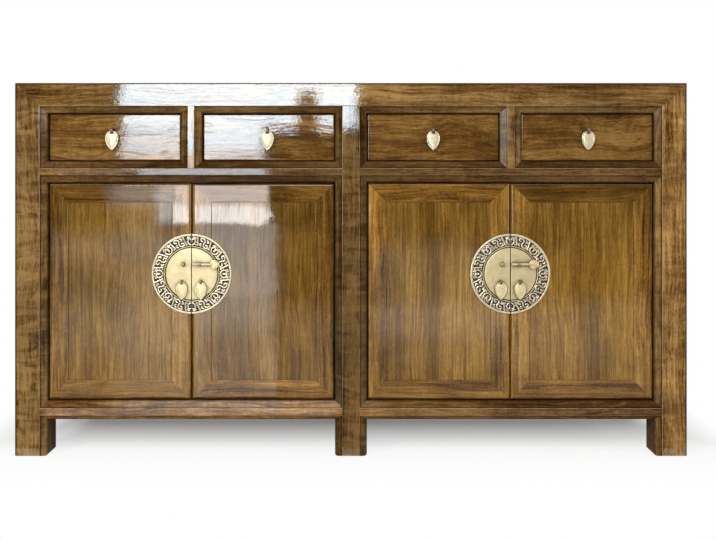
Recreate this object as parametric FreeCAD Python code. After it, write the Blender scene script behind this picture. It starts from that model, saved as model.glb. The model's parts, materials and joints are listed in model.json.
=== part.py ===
# A low cabinet: four drawers in a row over two pairs of doors, on three pairs of post legs.
# Millimetres, +Z up, front towards -Y, origin on the floor under the middle of the cabinet.
import math
import os

import FreeCAD
import Part

# Overall size
width = 1520.0
depth = 400.0
height = 845.0
leg_height = 83.0

# Posts, and the moulding beside every opening: a step down from the face, then a sloping strip
post_width = 72.0
post_depth = 66.0
strip_width = 16.0
step_drop = 4.0
strip_fall = 4.0
arris_radius = 1.5
outer_radius = 3.0
foot_radius = 6.0

# Rails and the short dividers between drawers
top_rail_height = 68.0
drawer_opening_height = 109.0
drawer_rail_height = 48.0
bottom_rail_height = 42.0
bottom_rail_lip = 9.0
divider_width = 48.0
rail_depth = 40.0
tenon_length = 18.0
tenon_shoulder = 8.0

# Boards and the grooves that hold them
groove_depth = 8.0
top_board = 16.0
top_tongue = 6.0
top_tongue_drop = 5.0
end_board = 10.0
end_inset = 14.0
back_board = 8.0
back_inset = 16.0
floor_board = 14.0
partition_board = 12.0
shelf_board = 16.0
shelf_height = 236.0
shelf_setback = 56.0
cleat_size = 20.0
batten_width = 26.0
batten_height = 28.0
batten_count = 3

# Runners under the drawers and guides between them
runner_board = 22.0
runner_ledge = 24.0
guide_height = 30.0

# Drawers
drawer_recess = 16.0
drawer_gap = 1.0
drawer_seat_gap = 0.3
drawer_front_board = 20.0
drawer_edge_radius = 3.5
drawer_back_gap = 30.0
drawer_side_board = 10.0
drawer_side_drop = 6.0
drawer_back_drop = 10.0
drawer_bottom_board = 6.0
drawer_bottom_lift = 8.0
drawer_bottom_groove = 5.0
tail_length = 12.0
tail_count = 3
tail_flare = 3.0

# Doors and their concealed pivots
door_recess = 12.0
door_gap = 1.5
meeting_gap = 2.0
door_thickness = 20.0
door_frame_width = 44.0
door_edge_radius = 6.0
door_inner_arris = 1.0
door_panel_board = 9.0
door_panel_drop = 0.8
door_panel_seam = 0.5
door_tongue = 5.0
door_tongue_drop = 2.5
door_groove_depth = 6.0
door_batten_width = 24.0
door_batten_board = 8.0
door_batten_inset = 70.0
pivot_radius = 4.0
pivot_inset = 11.0
pivot_setback = 9.0
pivot_hold = 20.0
socket_depth = 10.0
socket_fit = 0.05
socket_seat_gap = 0.3
stop_width = 60.0
stop_height = 12.0
stop_gap = 0.3

# Round lock plates, split on the parting line of each pair of doors
plate_radius = 91.0
plate_rise = 39.5
rim_width = 4.5
rim_height = 2.0
ring_height = 1.2
groove_outer_radius = 61.0
disc_radius = 59.0
plate_groove_height = 0.8
disc_height = 1.8

# Lock pins and the eyes that they slide in
pin_radius = 3.0
pin_stroke = 20.0
pin_tip_bevel = 1.2
pin_head_length = 22.0
pin_head_width = 20.0
pin_head_board = 3.0
pin_head_lap = 5.0
pin_rise = 22.0
pin_tip_clear = 1.2
pin_head_clear = 0.4
eye_fit = 0.05
eye_wall = 1.6
eye_width = 7.0
eye_offset = 18.5

# Leaf pulls and the strip loops that they hang on
leaf_widest_share = 0.38
pull_clear = 0.6
pull_offset = 21.7
pull_drop = 22.0
door_leaf_width = 26.0
door_leaf_length = 40.5
door_leaf_board = 1.8
door_leaf_hole_drop = 4.5
door_loop_radius = 4.5
door_loop_wall = 1.3
door_loop_strip = 5.0
drawer_leaf_width = 30.0
drawer_leaf_length = 45.0
drawer_leaf_board = 2.4
drawer_leaf_hole_drop = 6.5
drawer_loop_radius = 6.5
drawer_loop_wall = 1.5
drawer_loop_strip = 6.0
drawer_pull_rise = 9.0
drawer_pull_shift = 3.0
drawer_pull_shift_shares = (-2, -1, 0, 0.7)
loop_tail = 2.4

# How far a cutting shape runs past what it cuts
overrun = 5.0
overrun_share = 0.2

# Planes and levels that follow from the sizes above
half_width = width / 2
front = -depth / 2
back = depth / 2
half_post = post_width / 2
strip_low = step_drop + strip_fall
post_face = post_width - strip_width
end_face = post_depth - strip_width
top_face = post_face * top_rail_height / post_width
end_top_face = end_face * top_rail_height / post_depth
top_strip = top_rail_height - top_face
opening_top = height - top_rail_height
drawer_rail_top = opening_top - drawer_opening_height
drawer_rail_low = drawer_rail_top - drawer_rail_height
bottom_rail_top = leg_height + bottom_rail_height
bays = [(-half_width + post_width, -half_post), (half_post, half_width - post_width)]
end_inner = half_width - end_inset - end_board
floor_low = bottom_rail_top - floor_board
shelf_low = bottom_rail_top + shelf_height
runner_low = drawer_rail_top - runner_board
door_face = front + door_recess
plate_level = (bottom_rail_top + drawer_rail_low) / 2 + plate_rise
door_leaf = {"width": door_leaf_width, "length": door_leaf_length, "board": door_leaf_board,
             "hole_drop": door_leaf_hole_drop}
door_loop = {"outer": door_loop_radius, "wall": door_loop_wall, "strip": door_loop_strip}
drawer_leaf = {"width": drawer_leaf_width, "length": drawer_leaf_length, "board": drawer_leaf_board,
               "hole_drop": drawer_leaf_hole_drop}
drawer_loop = {"outer": drawer_loop_radius, "wall": drawer_loop_wall, "strip": drawer_loop_strip}


def vec(x, y, z):
    return FreeCAD.Vector(x, y, z)


def box(x, y, z):
    size = [x[1] - x[0], y[1] - y[0], z[1] - z[0]]
    return Part.makeBox(*size, vec(x[0], y[0], z[0]))


def cut_all(shape, tools):
    for tool in tools:
        shape = shape.cut(tool)
    return shape


def middle(span):
    return (span[0] + span[1]) / 2


# A flat face from (a, b) corners, each with an optional rounding radius
def outline_face(corners, place):
    spots = [place(corner[0], corner[1]) for corner in corners]
    entries, exits, edges = [], [], []
    for i, corner in enumerate(corners):
        radius = corner[2] if len(corner) > 2 else 0
        before = (spots[i - 1] - spots[i]).normalize()
        after = (spots[(i + 1) % len(spots)] - spots[i]).normalize()
        half = before.getAngle(after) / 2
        setback = radius / math.tan(half)
        entries.append(spots[i] + before * setback)
        exits.append(spots[i] + after * setback)
        if radius:
            inward = (before + after).normalize()
            crown = spots[i] + inward * (radius / math.sin(half) - radius)
            edges.append(Part.Arc(entries[i], crown, exits[i]).toShape())
    for i, start in enumerate(exits):
        stop = entries[(i + 1) % len(entries)]
        edges.append(Part.LineSegment(start, stop).toShape())
    return Part.Face(Part.Wire(Part.__sortEdges__(edges)))


def prism(corners, place, low, high):
    face = outline_face(corners, lambda a, b: place(a, b, low))
    return face.extrude(place(0, 0, high) - place(0, 0, low))


# A rail, divider or post with the step and strip on its long sides and mitred ends. The place
# function turns (along, across, behind the face) into a point. Each end runs on past its opening
# edge to the step line of the member that it meets.
def moulded_member(place, ends, runs, sides, strips, thick):
    low, high = sides
    face_low = low + strips[0]
    face_high = high - strips[1]
    first = ends[0] - runs[0]
    last = ends[1] + runs[1]
    section = [
        (low, strip_low),
        (face_low, step_drop),
        (face_low, 0, arris_radius),
        (face_high, 0, arris_radius),
        (face_high, step_drop),
        (high, strip_low),
        (high, thick),
        (low, thick),
    ]
    shape = [
        (ends[0], low),
        (first, face_low),
        (first, face_high),
        (ends[0], high),
        (ends[1], high),
        (last, face_high),
        (last, face_low),
        (ends[1], low),
    ]
    bar = prism(section, lambda across, behind, along: place(along, across, behind),
                first - overrun, last + overrun)
    return bar.common(prism(shape, place, -overrun, thick + overrun))


def front_level(along, across, behind):
    return vec(along, front + behind, across)


def front_upright(along, across, behind):
    return vec(across, front + behind, along)


def end_level(side):
    return lambda along, across, behind: vec(side * (half_width - behind), along, across)


# A plain bar with a shouldered tenon at both ends, along X
def tenoned_rail(x, y, z):
    body = box(x, y, z)
    tongue_x = (x[0] - tenon_length, x[1] + tenon_length)
    tongue_y = (y[0] + tenon_shoulder, y[1] - tenon_shoulder)
    tongue_z = (z[0] + tenon_shoulder, z[1] - tenon_shoulder)
    return body.fuse(box(tongue_x, tongue_y, tongue_z)).removeSplitter()


# Rounds the four lowest edges of a post
def round_foot(post):
    bounds = post.BoundBox
    block = box((bounds.XMin, bounds.XMax), (bounds.YMin, bounds.YMax), (0, height))
    rim = [edge for edge in block.Edges if edge.BoundBox.ZMax < foot_radius]
    return post.common(block.makeFillet(foot_radius, rim))


# Corner of the top, measured inwards from its outer point: across, towards the middle, and down
def top_corner(side, end):
    return lambda u, v, w: vec(side * (half_width - u), end * (back - v), height - w)


# The part of the corner block nearer to the outside along one axis than along another
def corner_wedge(corner, small, large):
    block = [post_width, post_depth, top_rail_height]
    third = 3 - small - large

    def spot(a, b, c):
        place = [0, 0, 0]
        place[small] = a * block[small]
        place[large] = b * block[large]
        place[third] = c * block[third]
        return corner(*place)

    low = -overrun_share
    high = 1 + overrun_share
    points = [spot(low, low, low), spot(high, high, low), spot(low, high, low), spot(low, low, low)]
    return Part.Face(Part.makePolygon(points)).extrude(spot(0, 0, high) - spot(0, 0, low))


# Cuts the three-way mitre at one top corner on the member that runs along the given axis
def mitre_corner(member, axis, side, end):
    corner = top_corner(side, end)
    others = [other for other in range(3) if other != axis]
    return cut_all(member, [corner_wedge(corner, axis, other) for other in others])


def corner_post(side, end):
    inner_front = [
        (post_face, 0, arris_radius),
        (post_face, step_drop),
        (post_width, strip_low),
    ]
    inner_rear = [(post_width, 0)]
    section = [(0, 0, outer_radius)]
    section += inner_front if end < 0 else inner_rear
    section += [
        (post_width, post_depth),
        (strip_low, post_depth),
        (step_drop, end_face),
        (0, end_face, arris_radius),
    ]
    corner = top_corner(side, end)
    post = round_foot(prism(section, corner, height, 0))
    return mitre_corner(post, 2, side, end)


def top_long_rail(end):
    lower = [(strip_low, top_rail_height), (step_drop, top_face), (0, top_face, arris_radius)]
    section = [(0, 0, outer_radius), (post_depth, 0), (post_depth, top_rail_height)]
    section += lower if end < 0 else [(0, top_rail_height)]
    corner = top_corner(-1, end)
    rail = prism(section, lambda v, w, u: corner(u, v, w), 0, width)
    for side in (-1, 1):
        rail = mitre_corner(rail, 0, side, end)
    return rail


def top_end_rail(side):
    section = [
        (0, 0, outer_radius),
        (post_width, 0),
        (post_width, top_rail_height),
        (strip_low, top_rail_height),
        (step_drop, end_top_face),
        (0, end_top_face, arris_radius),
    ]
    corner = top_corner(side, -1)
    rail = prism(section, lambda u, w, v: corner(u, v, w), 0, depth)
    for end in (-1, 1):
        rail = mitre_corner(rail, 1, side, end)
    return rail


# The middle rear post, with a stub tenon up into the top rear rail
def middle_rear_post():
    y = (back - post_depth, back)
    post = round_foot(box((-half_post, half_post), y, (0, opening_top)))
    stub_x = (-half_post + tenon_shoulder, half_post - tenon_shoulder)
    stub_y = (y[0] + tenon_shoulder, y[1] - tenon_shoulder)
    stub = box(stub_x, stub_y, (opening_top - tenon_length, opening_top + tenon_length))
    return post.fuse(stub).removeSplitter()


# Lanes between the drawers: end panel to bay, each divider, and the middle posts
def drawer_lanes():
    lanes = [(-end_inner, bays[0][0])]
    for i, bay in enumerate(bays):
        lanes.append((middle(bay) - divider_width / 2, middle(bay) + divider_width / 2))
        if i == 0:
            lanes.append((-half_post, half_post))
    lanes.append((bays[1][1], end_inner))
    return lanes


# The carcase: frame, boards, runners and shelves, keyed by node name
def build_carcase():
    corner_posts = {(side, end): corner_post(side, end) for side in (-1, 1) for end in (-1, 1)}
    uprights = (0, opening_top)
    post_sides = (-half_post, half_post)
    strips = (strip_width, strip_width)
    middle_post = round_foot(
        moulded_member(front_upright, uprights, (0, top_strip), post_sides, strips, post_depth))
    rear_post = middle_rear_post()
    raw_posts = list(corner_posts.values()) + [middle_post, rear_post]

    drawer_rails, bottom_rails, dividers, rear_rails, end_rails = [], [], [], [], []
    rail_z = (drawer_rail_low, drawer_rail_top)
    low_rail_z = (leg_height, bottom_rail_top)
    low_strips = (bottom_rail_lip, strip_width)
    rear_y = (back - rail_depth, back)
    for bay in bays:
        drawer_rails.append(moulded_member(front_level, bay, strips, rail_z, strips, rail_depth))
        bottom_rails.append(moulded_member(front_level, bay, strips, low_rail_z, low_strips, rail_depth))
        sides = (middle(bay) - divider_width / 2, middle(bay) + divider_width / 2)
        reach = (strip_width, top_strip)
        span = (drawer_rail_top, opening_top)
        dividers.append(moulded_member(front_upright, span, reach, sides, strips, rail_depth))
        rear_rails.append(tenoned_rail(bay, rear_y, rail_z))
        rear_rails.append(tenoned_rail(bay, rear_y, low_rail_z))
    end_span = (front + post_depth, back - post_depth)
    for side in (-1, 1):
        place = end_level(side)
        end_rails.append(moulded_member(place, end_span, strips, low_rail_z, low_strips, rail_depth))

    front_rail = top_long_rail(-1)
    rear_rail = top_long_rail(1)
    end_top_rails = [top_end_rail(side) for side in (-1, 1)]

    # Boards that sit in grooves, each reaching into the members round it
    top_x = half_width - post_width
    top_y = back - post_depth
    top_panel = box((-top_x, top_x), (-top_y, top_y), (height - top_board, height))
    tongue_z = (height - top_tongue_drop - top_tongue, height - top_tongue_drop)
    tongue_x = top_x + groove_depth
    tongue_y = top_y + groove_depth
    top_tongues = box((-tongue_x, tongue_x), (-tongue_y, tongue_y), tongue_z)
    top_panel = top_panel.fuse(top_tongues).removeSplitter()

    end_panels, back_panels, floor_panels = [], [], []
    shelves, cleats = [], []
    panel_y = (end_span[0] - groove_depth, end_span[1] + groove_depth)
    panel_z = (bottom_rail_top - groove_depth, opening_top + groove_depth)
    for side in (-1, 1):
        panel_x = sorted([side * (half_width - end_inset), side * end_inner])
        end_panels.append(box(panel_x, panel_y, panel_z))
    back_y = (back - back_inset - back_board, back - back_inset)
    back_levels = [(bottom_rail_top, drawer_rail_low), (drawer_rail_top, opening_top)]
    for bay in bays:
        for level in back_levels:
            x = (bay[0] - groove_depth, bay[1] + groove_depth)
            z = (level[0] - groove_depth, level[1] + groove_depth)
            back_panels.append(box(x, back_y, z))
    half_partition = partition_board / 2
    partition = box((-half_partition, half_partition), panel_y, (floor_low, runner_low))
    inner_y = (front + rail_depth - groove_depth, back - rail_depth + groove_depth)
    for side in (-1, 1):
        floor_x = sorted([side * (half_width - rail_depth + groove_depth), side * half_partition])
        floor = box(floor_x, inner_y, (floor_low, bottom_rail_top))
        floor_panels.append(cut_all(floor, raw_posts))
        shelf_x = sorted([side * end_inner, side * half_partition])
        shelf = box(shelf_x, (front + shelf_setback, back_y[0]), (shelf_low, shelf_low + shelf_board))
        shelves.append(cut_all(shelf, raw_posts))
        for wall, inward in ((end_inner, -1), (half_partition, 1)):
            cleat_x = sorted([side * wall, side * (wall + inward * cleat_size)])
            cleats.append(box(cleat_x, end_span, (shelf_low - cleat_size, shelf_low)))

    # Battens under the top, runners and guides
    battens, runners, guides = [], [], []
    batten_y = (-tongue_y, tongue_y)
    batten_z = (height - top_board - batten_height, height - top_board)
    for i in range(batten_count):
        place = -top_x + (i + 1) * 2 * top_x / (batten_count + 1)
        battens.append(box((place - batten_width / 2, place + batten_width / 2), batten_y, batten_z))
    for lane in drawer_lanes():
        ledge_x = (max(lane[0] - runner_ledge, -end_inner), min(lane[1] + runner_ledge, end_inner))
        runner = box(ledge_x, inner_y, (runner_low, drawer_rail_top))
        runners.append(cut_all(runner, raw_posts + dividers))
        guide_y = (front + rail_depth, back - rail_depth)
        guide = box(lane, guide_y, (drawer_rail_top, drawer_rail_top + guide_height))
        guides.append(cut_all(guide, raw_posts))

    # Stops behind the meeting stiles of each pair of doors
    stops = []
    stop_y = (door_face + door_thickness + stop_gap, front + rail_depth)
    for bay in bays:
        stop_x = (middle(bay) - stop_width / 2, middle(bay) + stop_width / 2)
        stops.append(box(stop_x, stop_y, (drawer_rail_low - stop_height, drawer_rail_low)))

    # Housings, mortises and grooves: each member is cut by what reaches into it
    sockets = [door_socket(door, level) for door in range(4) for level in ("low", "high")]
    drawer_rails = [cut_all(rail, dividers + runners + sockets) for rail in drawer_rails]
    bottom_rails = [cut_all(rail, floor_panels + sockets) for rail in bottom_rails]
    end_rails = [cut_all(rail, end_panels + floor_panels) for rail in end_rails]
    rear_rails = [cut_all(rail, back_panels + floor_panels + runners) for rail in rear_rails]
    front_rail = cut_all(front_rail, [middle_post, top_panel] + dividers + battens)
    rear_rail = cut_all(rear_rail, [rear_post, top_panel] + back_panels + battens)
    end_top_rails = [cut_all(rail, [top_panel] + end_panels) for rail in end_top_rails]
    held = drawer_rails + bottom_rails + rear_rails + end_rails
    held += end_panels + back_panels + [partition]
    posts = {key: cut_all(post, held) for key, post in corner_posts.items()}
    return {
        "left_front_post": [posts[(-1, -1)]],
        "middle_front_post": [cut_all(middle_post, held)],
        "right_front_post": [posts[(1, -1)]],
        "rear_posts": [posts[(-1, 1)], cut_all(rear_post, held), posts[(1, 1)]],
        "top_front_rail": [front_rail],
        "top_rear_rail": [rear_rail],
        "top_end_rails": end_top_rails,
        "top_panel": [top_panel],
        "top_battens": battens,
        "drawer_rails": drawer_rails,
        "bottom_rails": bottom_rails,
        "drawer_dividers": dividers,
        "rear_rails": rear_rails,
        "end_rails": end_rails,
        "end_panels": end_panels,
        "back_panels": back_panels,
        "floor_panels": floor_panels,
        "drawer_runners": runners + guides,
        "center_partition": [partition],
        "shelves": shelves,
        "shelf_cleats": cleats,
        "door_stops": stops,
    }


# A flat strip bent into a loop about the X axis, with a tail that runs back into the wood
def strip_loop(x, y, z, inner, outer, strip, tail_end):
    turn = vec(1, 0, 0)
    base = vec(x - strip / 2, y, z)
    loop = Part.makeCylinder(outer, strip, base, turn).cut(Part.makeCylinder(inner, strip, base, turn))
    tail_x = (x - strip / 2, x + strip / 2)
    tail = box(tail_x, (y + (inner + outer) / 2, tail_end), (z - loop_tail / 2, z + loop_tail / 2))
    return loop.fuse(tail).removeSplitter()


# A leaf outline: rounded at the top, widest part of the way down, and pointed at the tip
def leaf_face(place, leaf_width, leaf_length):
    half = leaf_width / 2
    widest = leaf_length * leaf_widest_share
    edges = []
    for reach, way in ((widest, -1), (leaf_length - widest, 1)):
        radius = (half * half + reach * reach) / leaf_width
        turn = math.asin(reach / radius) / 2
        across = half - radius + radius * math.cos(turn)
        along = widest + way * radius * math.sin(turn)
        for hand in (-1, 1):
            start = place(hand * half, widest)
            stop = place(0, widest + way * reach)
            edges.append(Part.Arc(start, place(hand * across, along), stop).toShape())
    return Part.Face(Part.Wire(Part.__sortEdges__(edges)))


# A leaf that hangs by its hole on a strip loop whose middle is at (x, y, z)
def leaf_pull(x, y, z, leaf, loop):
    ring = loop["outer"] - loop["wall"] / 2
    top = z - ring + leaf["hole_drop"]
    rear = y + leaf["board"] / 2
    face = leaf_face(lambda a, b: vec(x + a, rear, top - b), leaf["width"], leaf["length"])
    hole_x = loop["strip"] / 2 + pull_clear
    hole_z = loop["wall"] / 2 + pull_clear
    hole = box((x - hole_x, x + hole_x), (rear - leaf["board"], rear), (z - ring - hole_z, z - ring + hole_z))
    return face.extrude(vec(0, -leaf["board"], 0)).cut(hole)


# Left and right edges of drawer openings and doors, numbered from the left
def drawer_span(drawer):
    bay = bays[drawer // 2]
    if drawer % 2 == 0:
        return (bay[0], middle(bay) - divider_width / 2)
    return (middle(bay) + divider_width / 2, bay[1])


def door_span(door):
    bay = bays[door // 2]
    if door % 2 == 0:
        return (bay[0] + door_gap, middle(bay) - meeting_gap / 2)
    return (middle(bay) + meeting_gap / 2, bay[1] - door_gap)


# Doors 0 and 2 hang on the left, doors 1 and 3 on the right
def door_hand(door):
    return -1 if door % 2 == 0 else 1


def pivot_spot(door):
    edge = door_span(door)[0] + pivot_inset
    if door_hand(door) > 0:
        edge = door_span(door)[1] - pivot_inset
    return edge, door_face + pivot_setback


def door_socket(door, level):
    x, y = pivot_spot(door)
    radius = pivot_radius + socket_fit
    start = bottom_rail_top - socket_depth if level == "low" else drawer_rail_low
    return Part.makeCylinder(radius, socket_depth, vec(x, y, start))


# One drawer: front, dovetailed box, and the loop and leaf of its pull
def build_drawer(drawer):
    span = drawer_span(drawer)
    x = (span[0] + drawer_gap, span[1] - drawer_gap)
    low = drawer_rail_top + drawer_seat_gap
    face = front + drawer_recess
    inner = face + drawer_front_board
    end = back - back_inset - back_board - drawer_back_gap
    slab = box(x, (face, inner), (drawer_rail_top + drawer_gap, opening_top - drawer_gap))
    rim = [edge for edge in slab.Edges if edge.BoundBox.YMax < inner]
    slab = slab.makeFillet(drawer_edge_radius, rim)

    high = opening_top - drawer_side_drop
    pitch = (high - low) / tail_count
    bottom_z = (low + drawer_bottom_lift, low + drawer_bottom_lift + drawer_bottom_board)
    sides = []
    for hand, edge in ((1, x[0]), (-1, x[1])):
        corners = [(end, low), (end, high), (inner, high)]
        for i in reversed(range(tail_count)):
            base = low + i * pitch
            corners += [
                (inner, base + pitch - 2 * tail_flare),
                (inner - tail_length, base + pitch - tail_flare),
                (inner - tail_length, base + tail_flare),
                (inner, base + 2 * tail_flare),
            ]
        corners.append((inner, low))
        board = sorted([edge, edge + hand * drawer_side_board])
        sides.append(prism(corners, lambda y, z, across: vec(across, y, z), board[0], board[1]))
    in_x = (x[0] + drawer_side_board, x[1] - drawer_side_board)
    bottom_x = (in_x[0] - drawer_bottom_groove, in_x[1] + drawer_bottom_groove)
    bottom = box(bottom_x, (inner - drawer_bottom_groove, end), bottom_z)
    back_z = (bottom_z[1], high - drawer_back_drop)
    rear = box(bottom_x, (end - 2 * drawer_side_board, end - drawer_side_board), back_z)

    pull_z = drawer_rail_top + drawer_opening_height / 2 + drawer_pull_rise
    ring = drawer_loop["outer"] - drawer_loop["wall"] / 2
    pull_x = middle(span) + drawer_pull_shift * drawer_pull_shift_shares[drawer]
    place = (pull_x, face - drawer_loop["outer"], pull_z + ring)
    hole = drawer_loop["outer"] - drawer_loop["wall"]
    loop = strip_loop(*place, hole, drawer_loop["outer"], drawer_loop["strip"], inner)
    slab = cut_all(slab, sides + [bottom, loop])
    sides = [cut_all(side, [bottom, rear]) for side in sides]
    name = "drawer_%d" % (drawer + 1)
    return {
        name + "_front": [slab],
        name + "_box": sides + [rear, bottom],
        name + "_pull_loop": [loop],
        name + "_pull": [leaf_pull(*place, drawer_leaf, drawer_loop)],
    }


# The four mitred members of a door frame, each with a rounded outer edge
def door_frame(x, z):
    spans = {"x": x, "z": z}
    w = door_frame_width
    section = [
        (0, 0, door_edge_radius),
        (w, 0, door_inner_arris),
        (w, door_thickness),
        (0, door_thickness),
    ]
    members = []
    for across, along in (("x", "z"), ("z", "x")):
        for hand, edge in ((1, spans[across][0]), (-1, spans[across][1])):

            def place(a, b, s, across=across, hand=hand, edge=edge):
                spot = {"x": s, "z": s}
                spot[across] = edge + hand * a
                return vec(spot["x"], door_face + b, spot["z"])

            ends = spans[along]
            bar = prism(section, place, ends[0], ends[1])
            mitre = [(0, ends[0]), (w, ends[0] + w), (w, ends[1] - w), (0, ends[1])]
            trim = prism(mitre, lambda a, s, b: place(a, b, s), -overrun, door_thickness + overrun)
            members.append(bar.common(trim))
    return members


# One door: frame, panel and battens, half lock plate, pivots, eye and loop, and its leaf pull
def build_door(door):
    x = door_span(door)
    z = (bottom_rail_top + door_gap, drawer_rail_low - door_gap)
    hand = door_hand(door)
    parting = middle(bays[door // 2])
    rear = door_face + door_thickness

    open_x = (x[0] + door_frame_width, x[1] - door_frame_width)
    open_z = (z[0] + door_frame_width, z[1] - door_frame_width)
    panel_y = (door_face + door_panel_drop, door_face + door_panel_drop + door_panel_board)
    panel_x = (open_x[0] + door_panel_seam, open_x[1] - door_panel_seam)
    panel_z = (open_z[0] + door_panel_seam, open_z[1] - door_panel_seam)
    tongue_y = (panel_y[0] + door_tongue_drop, panel_y[0] + door_tongue_drop + door_tongue)
    tongue_x = (open_x[0] - door_groove_depth, open_x[1] + door_groove_depth)
    tongue_z = (open_z[0] - door_groove_depth, open_z[1] + door_groove_depth)
    panel = box(panel_x, panel_y, panel_z).fuse(box(tongue_x, tongue_y, tongue_z)).removeSplitter()
    battens = []
    batten_y = (panel_y[1], panel_y[1] + door_batten_board)
    for start in (open_z[0] + door_batten_inset, open_z[1] - door_batten_inset - door_batten_width):
        battens.append(box(open_x, batten_y, (start, start + door_batten_width)))

    # Pivot pins that stand out of the top and bottom of the hinge stile
    pivot_x, pivot_y = pivot_spot(door)
    reach = door_gap + socket_depth - socket_seat_gap
    pivots = []
    for start in (z[0] - reach, z[1] - pivot_hold):
        pivots.append(Part.makeCylinder(pivot_radius, pivot_hold + reach, vec(pivot_x, pivot_y, start)))

    # Half of the round lock plate, turned about its own middle
    section = [
        (0, 0),
        (plate_radius, 0),
        (plate_radius, rim_height),
        (plate_radius - rim_width, rim_height),
        (plate_radius - rim_width, ring_height),
        (groove_outer_radius, ring_height),
        (groove_outer_radius, plate_groove_height),
        (disc_radius, plate_groove_height),
        (disc_radius, disc_height),
        (0, disc_height),
    ]
    face = outline_face(section, lambda r, h: vec(parting + r, door_face - h, plate_level))
    plate = face.revolve(vec(parting, door_face, plate_level), vec(0, 1, 0), 360)
    meeting_edge = x[0] if hand > 0 else x[1]
    half_x = sorted([meeting_edge, parting + hand * (plate_radius + overrun)])
    half_y = (door_face - rim_height - overrun, door_face)
    half_z = (plate_level - plate_radius - overrun, plate_level + plate_radius + overrun)
    plate = plate.common(box(half_x, half_y, half_z))

    # Eye for the lock pin, and the loop that the pull hangs on
    eye_inner = pin_radius + eye_fit
    eye_outer = eye_inner + eye_wall
    seat = door_face - disc_height
    pin_y = seat - eye_outer
    eye = strip_loop(parting + hand * eye_offset, pin_y, plate_level + pin_rise,
                     eye_inner, eye_outer, eye_width, rear)
    ring = door_loop["outer"] - door_loop["wall"] / 2
    place = (parting + hand * pull_offset, seat - door_loop["outer"], plate_level - pull_drop + ring)
    hole = door_loop["outer"] - door_loop["wall"]
    loop = strip_loop(*place, hole, door_loop["outer"], door_loop["strip"], rear)

    plate = cut_all(plate, [eye, loop])
    frame = [cut_all(member, [panel, eye, loop] + pivots) for member in door_frame(x, z)]
    name = "door_%d" % (door + 1)
    return {
        name + "_frame": frame,
        name + "_panel": [panel] + battens,
        name + "_lock_plate": [plate],
        name + "_fittings": pivots + [eye, loop],
        name + "_pull": [leaf_pull(*place, door_leaf, door_loop)],
    }


# A lock pin, drawn to the right until its tip clears the parting line. Pushed home by its stroke, the
# tip sits in the eye of the other door and the head stands against the eye of its own.
def lock_pin(bay):
    tip = middle(bay) + meeting_gap / 2 + pin_tip_clear
    y = door_face - disc_height - eye_wall - eye_fit - pin_radius
    z = plate_level + pin_rise
    start = middle(bay) + eye_offset + eye_width / 2 + pin_head_clear + pin_stroke
    rod = Part.makeCylinder(pin_radius, start + pin_head_lap - tip, vec(tip, y, z), vec(1, 0, 0))
    end = [edge for edge in rod.Edges if edge.BoundBox.XMax < tip + pin_tip_bevel]
    rod = rod.makeChamfer(pin_tip_bevel, end)
    rear = y + pin_head_board / 2
    face = leaf_face(lambda a, b: vec(start + b, rear, z + a), pin_head_width, pin_head_length)
    return rod.fuse(face.extrude(vec(0, -pin_head_board, 0))).removeSplitter()


nodes = build_carcase()
for number in range(4):
    nodes.update(build_drawer(number))
    nodes.update(build_door(number))
nodes["lock_pin_left"] = [lock_pin(bays[0])]
nodes["lock_pin_right"] = [lock_pin(bays[1])]

os.makedirs("parts", exist_ok=True)
for node, solids in nodes.items():
    shape = solids[0] if len(solids) == 1 else Part.makeCompound(solids)
    shape.exportStep("parts/%s.step" % node)
print("%d nodes, %d solids" % (len(nodes), sum(len(shape) for shape in nodes.values())))
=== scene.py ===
import json
import math

import bmesh
import bpy
from mathutils import Matrix, Vector


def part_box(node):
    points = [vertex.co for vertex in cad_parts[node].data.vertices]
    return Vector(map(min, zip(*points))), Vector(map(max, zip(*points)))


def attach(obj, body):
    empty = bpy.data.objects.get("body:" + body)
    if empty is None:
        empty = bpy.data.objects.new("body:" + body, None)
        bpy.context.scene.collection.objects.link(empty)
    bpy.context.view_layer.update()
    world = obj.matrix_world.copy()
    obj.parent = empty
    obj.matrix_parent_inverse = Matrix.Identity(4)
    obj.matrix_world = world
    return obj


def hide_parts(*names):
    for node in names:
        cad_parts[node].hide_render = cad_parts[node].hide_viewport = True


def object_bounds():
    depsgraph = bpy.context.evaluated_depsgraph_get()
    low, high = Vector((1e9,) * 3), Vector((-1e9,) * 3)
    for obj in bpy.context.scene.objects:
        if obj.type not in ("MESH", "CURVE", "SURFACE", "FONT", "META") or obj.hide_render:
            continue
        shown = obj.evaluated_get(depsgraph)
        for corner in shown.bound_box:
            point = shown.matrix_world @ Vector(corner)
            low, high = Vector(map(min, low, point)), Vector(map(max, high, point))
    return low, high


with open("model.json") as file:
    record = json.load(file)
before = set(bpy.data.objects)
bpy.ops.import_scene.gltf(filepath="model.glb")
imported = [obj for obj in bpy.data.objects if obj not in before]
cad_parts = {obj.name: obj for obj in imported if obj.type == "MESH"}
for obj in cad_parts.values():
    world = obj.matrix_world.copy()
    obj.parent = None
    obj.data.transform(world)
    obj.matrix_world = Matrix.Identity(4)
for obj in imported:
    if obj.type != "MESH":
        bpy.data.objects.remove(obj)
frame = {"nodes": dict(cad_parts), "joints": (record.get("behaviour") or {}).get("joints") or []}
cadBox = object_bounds()
nodes = frame["nodes"]
print("frame loaded:", len(nodes), "nodes")


# small helpers for node trees
def newTree(name):
    material = bpy.data.materials.new(name)
    material.use_nodes = True
    material.node_tree.nodes.clear()
    return material, material.node_tree


def add(tree, kind, inputs=None, **settings):
    made = tree.nodes.new(kind)
    for key, value in settings.items():
        setattr(made, key, value)
    for key, value in (inputs or {}).items():
        if isinstance(value, bpy.types.NodeSocket):
            tree.links.new(value, made.inputs[key])
        else:
            made.inputs[key].default_value = value
    return made


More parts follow.
